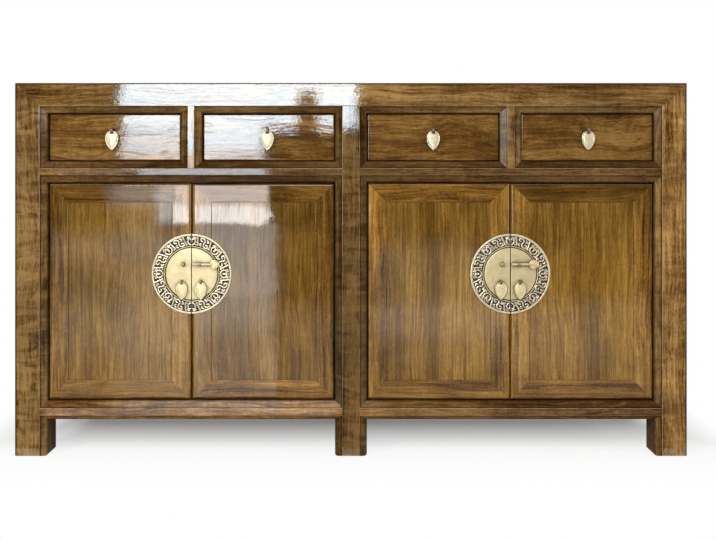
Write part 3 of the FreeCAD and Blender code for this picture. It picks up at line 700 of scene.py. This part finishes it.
drawerLeafLook = {
    "width": 0.03, "length": 0.045, "board": 0.0022, "widestShare": 0.38, "points": 56, "edge": 0.0006,
    "rings": [(0.88, 0.0), (0.965, -0.0003), (0.965, 0.0003), (0.9, 0.0004), (0.84, 0.00035), (0.72, 0.00025),
              (0.5, 0.0001)],
    "holeDrop": 0.0065, "holeWidth": 0.0072, "holeHeight": 0.0027,
}
doorLeafLook = {
    "width": 0.026, "length": 0.0405, "board": 0.0016, "widestShare": 0.38, "points": 48, "edge": 0.0005,
    "rings": [(0.88, 0.0), (0.965, -0.00025), (0.965, 0.00025), (0.9, 0.0003), (0.82, 0.00025),
              (0.66, 0.00016)],
    "holeDrop": 0.0045, "holeWidth": 0.0062, "holeHeight": 0.0025,
}


# hangs copies of a leaf where the pulls of that row are
def hangLeaves(look, row, metal):
    leaf = modelLeaf(look)
    punchHole(leaf, look)
    for number in range(1, 5):
        node = "%s_%d_pull" % (row, number)
        low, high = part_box(node)
        piece = copyOf(leaf, ((low.x + high.x) / 2, high.y - leafShape["sink"], high.z))
        fit(piece, "%sLeaf%d" % (row, number), [metal], "%s_pull_%d" % (row, number), node)
    bpy.data.objects.remove(leaf)


hangLeaves(drawerLeafLook, "drawer", leafBrass)
hangLeaves(doorLeafLook, "door", doorLeafBrass)
print("leaf pulls: done")

drawerLoopLook = {"outer": 0.0065, "wall": 0.0015, "strip": 0.006, "edge": 0.0004, "tail": 0.0024}


# a bent strip that the leaf hangs on, with a flat tail into the drawer front
def modelLoop(look, tailLength):
    deselect()
    start = look["outer"] - look["wall"] / 2
    bpy.ops.mesh.primitive_cylinder_add(vertices=40, radius=start, depth=look["strip"],
                                        end_fill_type="NOTHING", rotation=(0, math.radians(90), 0))
    loop = bpy.context.object
    settle()
    useModifier(loop, "SOLIDIFY", thickness=look["wall"], offset=0.0)
    deselect()
    bpy.ops.mesh.primitive_cube_add(size=1.0, location=(0, start + tailLength / 2, 0))
    tail = bpy.context.object
    tail.scale = (look["strip"], tailLength, look["tail"])
    settle()
    loop = joinAll([loop, tail])
    useModifier(loop, "BEVEL", width=look["edge"], segments=2, limit_method="ANGLE")
    cleanUp()
    return loop


loopLow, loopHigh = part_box("drawer_1_pull_loop")
loopTail = loopHigh.y - loopLow.y - 2 * drawerLoopLook["outer"] + drawerLoopLook["wall"]
drawerLoop = modelLoop(drawerLoopLook, loopTail)
for number in range(1, 5):
    node = "drawer_%d_pull_loop" % number
    low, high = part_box(node)
    middle = ((low.x + high.x) / 2, low.y + drawerLoopLook["outer"], (low.z + high.z) / 2)
    fit(copyOf(drawerLoop, middle), "drawerLoop%d" % number, [shadedBrass], "drawer_%d" % number, node)
bpy.data.objects.remove(drawerLoop)
print("drawer loops: done")

# round lock plate, its outline in millimetres from the middle of the front to the middle of the back:
# radius, height above the door face
plateLook = {
    "points": [(0, 1.8), (30, 1.8), (56.4, 1.8), (58.2, 1.62), (58.9, 1.2), (59.1, 0.8), (60.9, 0.8),
               (61.1, 1.3), (61.7, 1.68), (62.6, 1.68), (63.2, 1.2), (86.2, 1.2), (86.6, 1.7), (87.4, 1.95),
               (88.7, 2.0), (90.1, 1.85), (90.8, 1.4), (91, 0.8), (91, 0), (0, 0)],
    "radius": 91, "unit": 0.001, "steps": 128, "floorRadii": (0.0633, 0.0861), "grooveRadii": (0.059, 0.061),
    "edge": 0.0005,
}
plateLow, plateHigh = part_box("door_1_lock_plate")
plateLevel = (plateLow.z + plateHigh.z) / 2
plateBack = plateHigh.y
plateMiddles = {"left": plateLow.x + plateLook["radius"] * plateLook["unit"]}
plateMiddles["right"] = -plateMiddles["left"]


def modelPlate(look):
    deselect()
    bpy.ops.mesh.primitive_circle_add(vertices=3, radius=look["unit"])
    plate = bpy.context.object
    points = [Vector((r, -h, 0)) * look["unit"] for r, h in look["points"]]
    enterEdit()
    bpy.ops.mesh.merge(type="CENTER")
    bpy.ops.transform.translate(value=points[0])
    for before, after in zip(points, points[1:]):
        bpy.ops.mesh.extrude_vertices_move(TRANSFORM_OT_translate={"value": after - before})
    bpy.ops.mesh.select_all(action="SELECT")
    bpy.ops.mesh.spin(steps=look["steps"], angle=2 * math.pi, center=(0, 0, 0), axis=(0, 1, 0))
    leaveEdit()
    cleanUp()
    return plate


# keeps the part of a piece on one side of an upright plane
def keepSide(piece, edge, hand):
    only(piece)
    enterEdit()
    bpy.ops.mesh.bisect(plane_co=(edge, 0, 0), plane_no=(hand, 0, 0), clear_inner=True, use_fill=True)
    leaveEdit()
    cleanUp()


scrollLook = {"radius": 0.0018, "sides": 10, "flatten": 0.52, "turnSteps": 14, "fewestSteps": 3,
              "unit": 0.001}


# a rounded band that runs on through arcs of given radius and sweep, all turning one way
def scrollBand(start, heading, hand, arcs):
    deselect()
    point = Vector((start[0], 0, start[1])) * scrollLook["unit"]
    ahead = Vector((math.cos(heading), 0, math.sin(heading)))
    bpy.ops.mesh.primitive_circle_add(vertices=scrollLook["sides"], radius=scrollLook["radius"],
                                      fill_type="NGON", location=point,
                                      rotation=(0, math.radians(90) - heading, 0))
    band = bpy.context.object
    settle()
    enterEdit()
    for radius, sweep in arcs:
        inward = Vector((-ahead.z, 0, ahead.x)) * hand
        centre = point + inward * radius * scrollLook["unit"]
        angle = math.radians(sweep) * hand
        steps = max(scrollLook["fewestSteps"], round(scrollLook["turnSteps"] * sweep / 180))
        bpy.ops.mesh.spin(steps=steps, angle=angle, center=centre, axis=(0, 1, 0))
        turn = Matrix.Rotation(-angle, 3, "Y")
        point = centre + turn @ (point - centre)
        ahead = turn @ ahead
    leaveEdit()
    return band


def boss(x, z, radius):
    deselect()
    unit = scrollLook["unit"]
    bpy.ops.mesh.primitive_uv_sphere_add(segments=14, ring_count=8, radius=radius * unit,
                                         location=(x * unit, 0, z * unit), rotation=(math.radians(90), 0, 0))
    settle()
    return bpy.context.object


# motifs in millimetres: bands as start and arcs (radius, sweep in degrees), buds as x, z and radius
motifLook = {
    "barStart": (14.4, -10.5), "bar": [(200, 6.0)],
    "armTurns": {1: 60, -1: 240}, "arm": [(6.2, 150), (3.2, 200)],
    "armLeafStart": (3.4, 8.6), "armLeafTurns": {1: 0, -1: 180}, "armLeaf": [(6.6, 75)],
    "armBuds": [(6.6, 3.6, 2.2), (10.6, -8.6, 1.9)],
    "cupStart": (0, -8.9), "cup": [(8.4, 112), (3.8, 190)], "cupLeafStart": (4.0, 8.8),
    "cupLeaf": [(7.4, 62)], "middleBuds": [(0, -2.6, 2.5), (0, 8.6, 2.2), (0, 2.9, 1.5)],
    "cornerBuds": [(10.4, -8.4, 2.0), (11.0, -2.6, 1.3)],
}


def sideBar():
    return scrollBand(motifLook["barStart"], math.pi / 2, 1, motifLook["bar"])


# a running scroll: two arms that curl away from the middle, with leaves and buds in the corners
def runningScroll():
    made = [sideBar()]
    x, z = motifLook["armLeafStart"]
    for hand in (1, -1):
        made.append(scrollBand((0, 0), math.radians(motifLook["armTurns"][hand]), 1, motifLook["arm"]))
        heading = math.radians(motifLook["armLeafTurns"][hand])
        made.append(scrollBand((x * hand, z * hand), heading, -1, motifLook["armLeaf"]))
        made += [boss(across * hand, up * hand, radius) for across, up, radius in motifLook["armBuds"]]
    return joinAll(made)


# a cloud: a cup whose ends curl in over a bud, with buds above and in the corners
def cloudScroll():
    made = [sideBar()] + [boss(*bud) for bud in motifLook["middleBuds"]]
    x, z = motifLook["cupLeafStart"]
    for hand in (1, -1):
        heading = 0 if hand > 0 else math.pi
        made.append(scrollBand(motifLook["cupStart"], heading, hand, motifLook["cup"]))
        made.append(scrollBand((x * hand, z), heading, -hand, motifLook["cupLeaf"]))
        made += [boss(across * hand, up, radius) for across, up, radius in motifLook["cornerBuds"]]
    return joinAll(made)


ringLook = {"cells": 16, "radius": 0.0747, "floorHeight": 0.0012, "sink": 0.0001}


# sets the motifs round the ring by turns, and cuts their backs off level with the ring's floor
def modelRing(look):
    motifs = [cloudScroll(), runningScroll()]
    made = []
    for i in range(look["cells"]):
        piece = copyOf(motifs[i % 2], (0, 0, look["radius"]))
        only(piece)
        enterEdit()
        turn = 2 * math.pi * i / look["cells"]
        bpy.ops.transform.rotate(value=turn, orient_axis="Y", center_override=(0, 0, 0))
        leaveEdit()
        made.append(piece)
    for motif in motifs:
        bpy.data.objects.remove(motif)
    ring = joinAll(made)
    enterEdit()
    bpy.ops.transform.resize(value=(1, scrollLook["flatten"], 1), center_override=(0, 0, 0))
    bpy.ops.mesh.bisect(plane_co=(0, look["sink"], 0), plane_no=(0, -1, 0), clear_inner=True, use_fill=True)
    leaveEdit()
    only(ring)
    ring.location = (0, -look["floorHeight"], 0)
    settle()
    cleanUp()
    return ring


platePattern = modelPlate(plateLook)
ringPattern = modelRing(ringLook)
doorHalves = {1: ("left", -1), 2: ("left", 1), 3: ("right", -1), 4: ("right", 1)}
for number, (side, hand) in doorHalves.items():
    node = "door_%d_lock_plate" % number
    low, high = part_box(node)
    edge = low.x if hand > 0 else high.x
    move = (plateMiddles[side], plateBack, plateLevel)
    plate = copyOf(platePattern, move)
    keepSide(plate, edge, hand)
    fit(plate, "lockPlate%d" % number, [brass, patina, leafBrass], "door_%d" % number, node)
    for face in plate.data.polygons:   # dark patina on the ring's floor and in the groove
        reach = math.hypot(face.center.x - move[0], face.center.z - move[2])
        inRing = plateLook["floorRadii"][0] < reach < plateLook["floorRadii"][1]
        inGroove = plateLook["grooveRadii"][0] < reach < plateLook["grooveRadii"][1]
        if (inRing or inGroove) and face.center.y < plateBack - plateLook["edge"]:
            face.material_index = 1
        elif reach > plateLook["floorRadii"][1]:   # the rim is paler
            face.material_index = 2
    ring = copyOf(ringPattern, move)
    keepSide(ring, edge, hand)
    fit(ring, "plateOrnament%d" % number, [wornBrass], "door_%d" % number)
bpy.data.objects.remove(platePattern)
bpy.data.objects.remove(ringPattern)
print("lock plates: done")

# eye for the pin, loop for the leaf and the two pivots of a door
fittingLook = {
    "eyeBore": 0.00305, "eyeWall": 0.0016, "eyeWidth": 0.007, "eyeOffset": 0.0185, "eyeRise": 0.022,
    "loopBore": 0.0032, "loopWall": 0.0013, "loopWidth": 0.005, "loopOffset": 0.0217, "loopDrop": 0.01815,
    "seat": 0.0018, "footRadius": 0.0023, "footHeight": 0.0014, "pivotRadius": 0.004, "pivotLength": 0.0312,
    "footEdge": 0.0004, "pivotEdge": 0.0006,
}


# a ring about X with a rounded, drawn-out section
def beadRing(bore, wall, width, place):
    deselect()
    bpy.ops.mesh.primitive_torus_add(major_radius=bore + wall / 2, minor_radius=wall / 2, major_segments=32,
                                     minor_segments=16, rotation=(0, math.radians(90), 0))
    bead = bpy.context.object
    settle()
    bead.scale = (width / wall, 1, 1)
    bead.location = place
    settle()
    return bead


def roundBar(radius, length, place, turn, edge):
    deselect()
    bpy.ops.mesh.primitive_cylinder_add(vertices=28, radius=radius, depth=length, location=place,
                                        rotation=turn)
    bar = bpy.context.object
    settle()
    useModifier(bar, "BEVEL", width=edge, segments=3, limit_method="ANGLE")
    return bar


hinges = {joint["child"]: joint["pos_m"] for joint in frame["joints"] if joint["name"].endswith("_hinge")}
for number, (side, hand) in doorHalves.items():
    look = fittingLook
    node = "door_%d_fittings" % number
    low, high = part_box(node)
    seat = plateBack - look["seat"]
    eyeX = plateMiddles[side] + hand * look["eyeOffset"]
    loopX = plateMiddles[side] + hand * look["loopOffset"]
    eyeZ = plateLevel + look["eyeRise"]
    loopZ = plateLevel - look["loopDrop"]
    pieces = [
        beadRing(look["eyeBore"], look["eyeWall"], look["eyeWidth"],
                 (eyeX, seat - look["eyeBore"] - look["eyeWall"], eyeZ)),
        beadRing(look["loopBore"], look["loopWall"], look["loopWidth"],
                 (loopX, seat - look["loopBore"] - look["loopWall"], loopZ)),
    ]
    for x, z in ((eyeX, eyeZ), (loopX, loopZ)):
        pieces.append(roundBar(look["footRadius"], look["footHeight"] * 2, (x, seat, z),
                               (math.radians(90), 0, 0), look["footEdge"]))
    pivot = hinges["door_%d" % number]
    for z in (low.z + look["pivotLength"] / 2, high.z - look["pivotLength"] / 2):
        pieces.append(roundBar(look["pivotRadius"], look["pivotLength"], (pivot[0], pivot[1], z), (0, 0, 0),
                               look["pivotEdge"]))
    for place, piece in enumerate(pieces):   # the eye and its foot are brighter than the rest, though both are darker copies of the brass as painted shade
        piece.data.materials.append(eyeBrass if place in (0, 2) else shadedBrass)
    piece = joinAll(pieces)
    cleanUp()
    fit(piece, "doorFittings%d" % number, [eyeBrass, shadedBrass], "door_%d" % number, node)
print("door fittings: done")

pinLook = {
    "radius": 0.003, "tip": 0.0012, "lap": 0.005,
    "head": {"width": 0.02, "length": 0.022, "board": 0.0026, "widestShare": 0.38, "points": 40,
             "edge": 0.0006,
             "rings": [(0.88, 0.0), (0.96, -0.0002), (0.96, 0.0002), (0.88, 0.0003), (0.75, 0.0002)]},
}
for side in ("left", "right"):
    node = "lock_pin_" + side
    low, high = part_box(node)
    head = pinLook["head"]
    start = high.x - head["length"]
    y = low.y + pinLook["radius"]
    z = (low.z + high.z) / 2
    length = start + pinLook["lap"] - low.x
    rod = roundBar(pinLook["radius"], length, (low.x + length / 2, y, z), (0, math.radians(90), 0),
                   pinLook["tip"])
    leaf = modelLeaf(head)
    leaf.rotation_euler = (0, math.radians(-90), 0)
    leaf.location = (start, y + head["board"] / 2, z)
    only(leaf)
    settle()
    rod.data.materials.append(brass)
    leaf.data.materials.append(pinBrass)
    piece = joinAll([rod, leaf])
    cleanUp()
    fit(piece, "lockPin" + side.title(), [brass, pinBrass], node, node)
print("lock pins: done")

# camera: level, in front, a little right of the middle and above it
cameraSpot = {"x": 0.016, "distance": 2.1, "height": 0.625, "lens": 46.72, "sensor": 36.0, "shift": -0.1255}
cameraData = bpy.data.cameras.new("photoCamera")
cameraData.lens = cameraSpot["lens"]
cameraData.sensor_width = cameraSpot["sensor"]
cameraData.shift_y = cameraSpot["shift"]
camera = bpy.data.objects.new("photoCamera", cameraData)
bpy.context.scene.collection.objects.link(camera)
camera.location = (cameraSpot["x"], cadBox[0].y - cameraSpot["distance"], cameraSpot["height"])
camera.rotation_euler = (math.radians(90), 0, 0)
bpy.context.scene.camera = camera
bpy.context.scene.view_settings.view_transform = "Standard"
print("camera: done")

# studio: pale floor, soft boxes, glowing sheets that paint a window's reflection on the front, and dark sheets
# seen only in reflections that keep the glossy front from going milky
stageLook = {
    "floorRadius": 14.0, "floorColour": (0.9, 0.9, 0.9), "glowUnder": 0.18, "glowFront": 0.85,
    "frontNear": (-0.1, 0.14), "frontFar": (0.14, 0.4), "rear": (0.15, 0.44), "side": (0.72, 0.92),
    "worldFill": 0.36, "darkReflectionColour": (0.01, 0.009, 0.008), "aim": (0, -0.2, 0.4),
}


# 1 for rays that come from the camera, straight or by mirror or glass
def seenRay(tree):
    path = add(tree, "ShaderNodeLightPath")
    seen = calc(tree, "MAXIMUM", path.outputs["Is Camera Ray"], path.outputs["Is Glossy Ray"])
    return calc(tree, "MAXIMUM", seen, path.outputs["Is Transmission Ray"])


def studioWorld():
    world = bpy.data.worlds.new("studioWorld")
    bpy.context.scene.world = world
    world.use_nodes = True
    tree = world.node_tree
    tree.nodes.clear()
    strength = blendValue(tree, seenRay(tree), stageLook["worldFill"], 1.0)
    back = add(tree, "ShaderNodeBackground", {"Color": (1, 1, 1, 1), "Strength": strength})
    add(tree, "ShaderNodeOutputWorld", {"Surface": back.outputs[0]})


# white floor that glows for camera and mirror rays, more away from the object: painted light that fades its cast
# shadow out towards the front
def studioFloor():
    bpy.ops.mesh.primitive_circle_add(vertices=96, radius=stageLook["floorRadius"], fill_type="NGON")
    floor = bpy.context.object
    floor.name = "studioFloor"
    material, tree = newTree("studioFloorPaintAndGlow")
    place = axes(tree, objectSpot(tree))
    ahead = times(tree, place["Y"], -1.0)
    under, front = stageLook["glowUnder"], stageLook["glowFront"]
    glowShare = plus(tree, span(tree, ahead, *stageLook["frontNear"], under, front),
                     span(tree, ahead, *stageLook["frontFar"], 0.0, 1.0 - front))
    for off, reach in ((place["Y"], "rear"), (calc(tree, "ABSOLUTE", place["X"]), "side")):
        glowShare = calc(tree, "MAXIMUM", glowShare, span(tree, off, *stageLook[reach], under, 1.0))
    paintShader = add(tree, "ShaderNodeBsdfDiffuse", {"Color": (*stageLook["floorColour"], 1)})
    glow = add(tree, "ShaderNodeEmission", {"Color": (1, 1, 1, 1), "Strength": 1.0})
    share = times(tree, seenRay(tree), glowShare)
    mixed = add(tree, "ShaderNodeMixShader", {0: share, 1: paintShader.outputs[0], 2: glow.outputs[0]})
    surface(tree, mixed)
    floor.data.materials.append(material)


# an upright or lying sheet that is met by reflections alone: it paints reflections
def stageSheet(name, size, place, turn, material):
    bpy.ops.mesh.primitive_plane_add(size=1.0, location=place, rotation=turn)
    sheet = bpy.context.object
    sheet.name = name
    sheet.scale = (*size, 1)
    settle()
    sheet.visible_camera = False
    sheet.visible_diffuse = False
    sheet.visible_shadow = False
    sheet.data.materials.append(material)


def darkReflectionPaint():
    material, tree = newTree("darkReflectionPaint")
    shader = add(tree, "ShaderNodeBsdfDiffuse", {"Color": (*stageLook["darkReflectionColour"], 1)})
    surface(tree, shader)
    return material


# painted reflections: glowing panes laid out by where they show on the front of the cabinet, seen only in
# reflections, each as left, right, bottom, top, softness, share of the full strength, tint
cool, plain, warm = (0.76, 0.9, 1.0), (1.0, 0.99, 0.97), (1.0, 0.86, 0.78)
paintedReflectionLook = {
    "strength": 25.0, "tornAcross": 0.012, "tornUp": 0.006,
    "torn": ((0, 0, 0), (16, 1, 30), 5.0, 0.65), "tornReach": (0.25, 0.75),   # shift, scale, detail, rough
    "panes": [
        (-0.519, 0.012, 0.8246, 0.95, 0.005, 1.0, cool), (-0.519, -0.123, 0.7454, 0.8246, 0.005, 1.0, cool),
        (-0.0755, 0.012, 0.7454, 0.8246, 0.005, 1.0, cool),
        (-0.38, -0.2023, 0.684, 0.7454, 0.005, 0.95, cool),
        (-0.519, -0.38, 0.684, 0.7454, 0.005, 0.7, cool),
        (-0.519, -0.2023, 0.655, 0.684, 0.005, 0.5, warm), (-0.48, -0.19, 0.625, 0.655, 0.006, 0.45, cool),
        (-0.4, -0.187, 0.567, 0.625, 0.004, 0.5, warm), (-0.4, -0.189, 0.527, 0.567, 0.004, 0.75, plain),
        (-0.44, -0.4, 0.53, 0.625, 0.012, 0.3, cool), (-0.55, -0.44, 0.57, 0.625, 0.02, 0.1, cool),
        (-0.361, -0.172, 0.1, 0.527, 0.005, 0.075, plain), (-0.361, -0.172, 0.285, 0.527, 0.03, 0.075, plain),
        (-0.361, -0.172, 0.36, 0.527, 0.006, 0.05, plain), (-0.172, -0.04, 0.1, 0.335, 0.035, 0.034, plain),
        (-0.69, -0.361, 0.1, 0.51, 0.025, 0.03, plain), (-0.53, -0.361, 0.1, 0.62, 0.03, 0.035, plain),
        (-0.69, -0.361, 0.225, 0.345, 0.03, 0.026, plain), (-0.69, -0.361, 0.44, 0.5, 0.015, 0.02, plain),
        (-0.69, -0.04, 0.088, 0.115, 0.006, 0.07, plain), (-0.67, -0.519, 0.625, 0.66, 0.008, 0.05, plain),
        (0.05, 0.361, 0.2, 0.48, 0.025, 0.035, plain), (0.05, 0.361, 0.265, 0.345, 0.02, 0.04, plain),
        (0.05, 0.361, 0.1, 0.2, 0.025, 0.02, plain), (0.361, 0.69, 0.1, 0.36, 0.025, 0.025, plain),
        (0.361, 0.58, 0.2, 0.325, 0.025, 0.022, plain),
    ],
}


def paintedReflections(look):
    material, tree = newTree("paintedReflections")
    place = axes(tree, objectSpot(tree))
    far = calc(tree, "SUBTRACT", cadBox[0].y, place["Y"])
    far = plus(tree, calc(tree, "DIVIDE", far, cameraSpot["distance"]), 1.0)
    across = calc(tree, "DIVIDE", calc(tree, "SUBTRACT", place["X"], cameraSpot["x"]), far)
    across = plus(tree, across, cameraSpot["x"])
    up = calc(tree, "DIVIDE", calc(tree, "SUBTRACT", place["Z"], cameraSpot["height"]), far)
    up = plus(tree, up, cameraSpot["height"])
    shown = add(tree, "ShaderNodeCombineXYZ", {0: across, 1: 0.0, 2: up}).outputs[0]
    torn = span(tree, noise(tree, shown, *look["torn"]), *look["tornReach"], -1.0, 1.0)
    across = plus(tree, across, times(tree, torn, look["tornAcross"]))
    up = plus(tree, up, times(tree, torn, look["tornUp"]))
    light = (*stageLook["darkReflectionColour"], 1)
    for left, right, bottom, top, soft, share, tint in look["panes"]:
        pane = times(tree, between(tree, across, left, right, soft), between(tree, up, bottom, top, soft))
        level = share * look["strength"]
        light = blendColour(tree, pane, light, tuple(level * part for part in tint) + (1,), "ADD")
    glow = add(tree, "ShaderNodeEmission", {"Color": light, "Strength": 1.0})
    surface(tree, glow)
    return material


def softBox(name, size, place, radiance, tint):
    light = bpy.data.lights.new(name, "AREA")
    light.shape = "RECTANGLE"
    light.size, light.size_y = size
    light.energy = radiance * math.pi * size[0] * size[1]
    light.color = tint
    lamp = bpy.data.objects.new(name, light)
    bpy.context.scene.collection.objects.link(lamp)
    lamp.location = place
    lamp.rotation_euler = (Vector(stageLook["aim"]) - Vector(place)).to_track_quat("-Z", "Y").to_euler()
    lamp.visible_camera = False


# size, place, radiance, tint
softBoxes = {
    "overheadBox": ((4.4, 1.8), (0.2, -2.4, 3.1), 2.2, (1.0, 0.97, 0.93)),
    "rightBox": ((1.6, 2.4), (3.9, -2.2, 1.2), 4.2, (1.0, 0.96, 0.92)),
    "keyBox": ((0.8, 0.8), (-2.6, -3.6, 2.4), 46.0, (1.0, 0.97, 0.93)),
}
deselect()
studioWorld()
studioFloor()
upright, lying = (math.radians(90), 0, 0), (0, 0, 0)
reflectionGlow = paintedReflections(paintedReflectionLook)
stageSheet("darkReflectionSheet", (12.0, 4.4), (0, -4.7, 2.2), upright, darkReflectionPaint())
stageSheet("reflectionSheet", (4.4, 1.6), (0, -4.1, 0.8), upright, reflectionGlow)
stageSheet("floorReflectionSheet", (12.0, 4.5), (0, -2.5, 0.004), lying, reflectionGlow)
for name, box in softBoxes.items():
    softBox(name, *box)
print("studio: done")
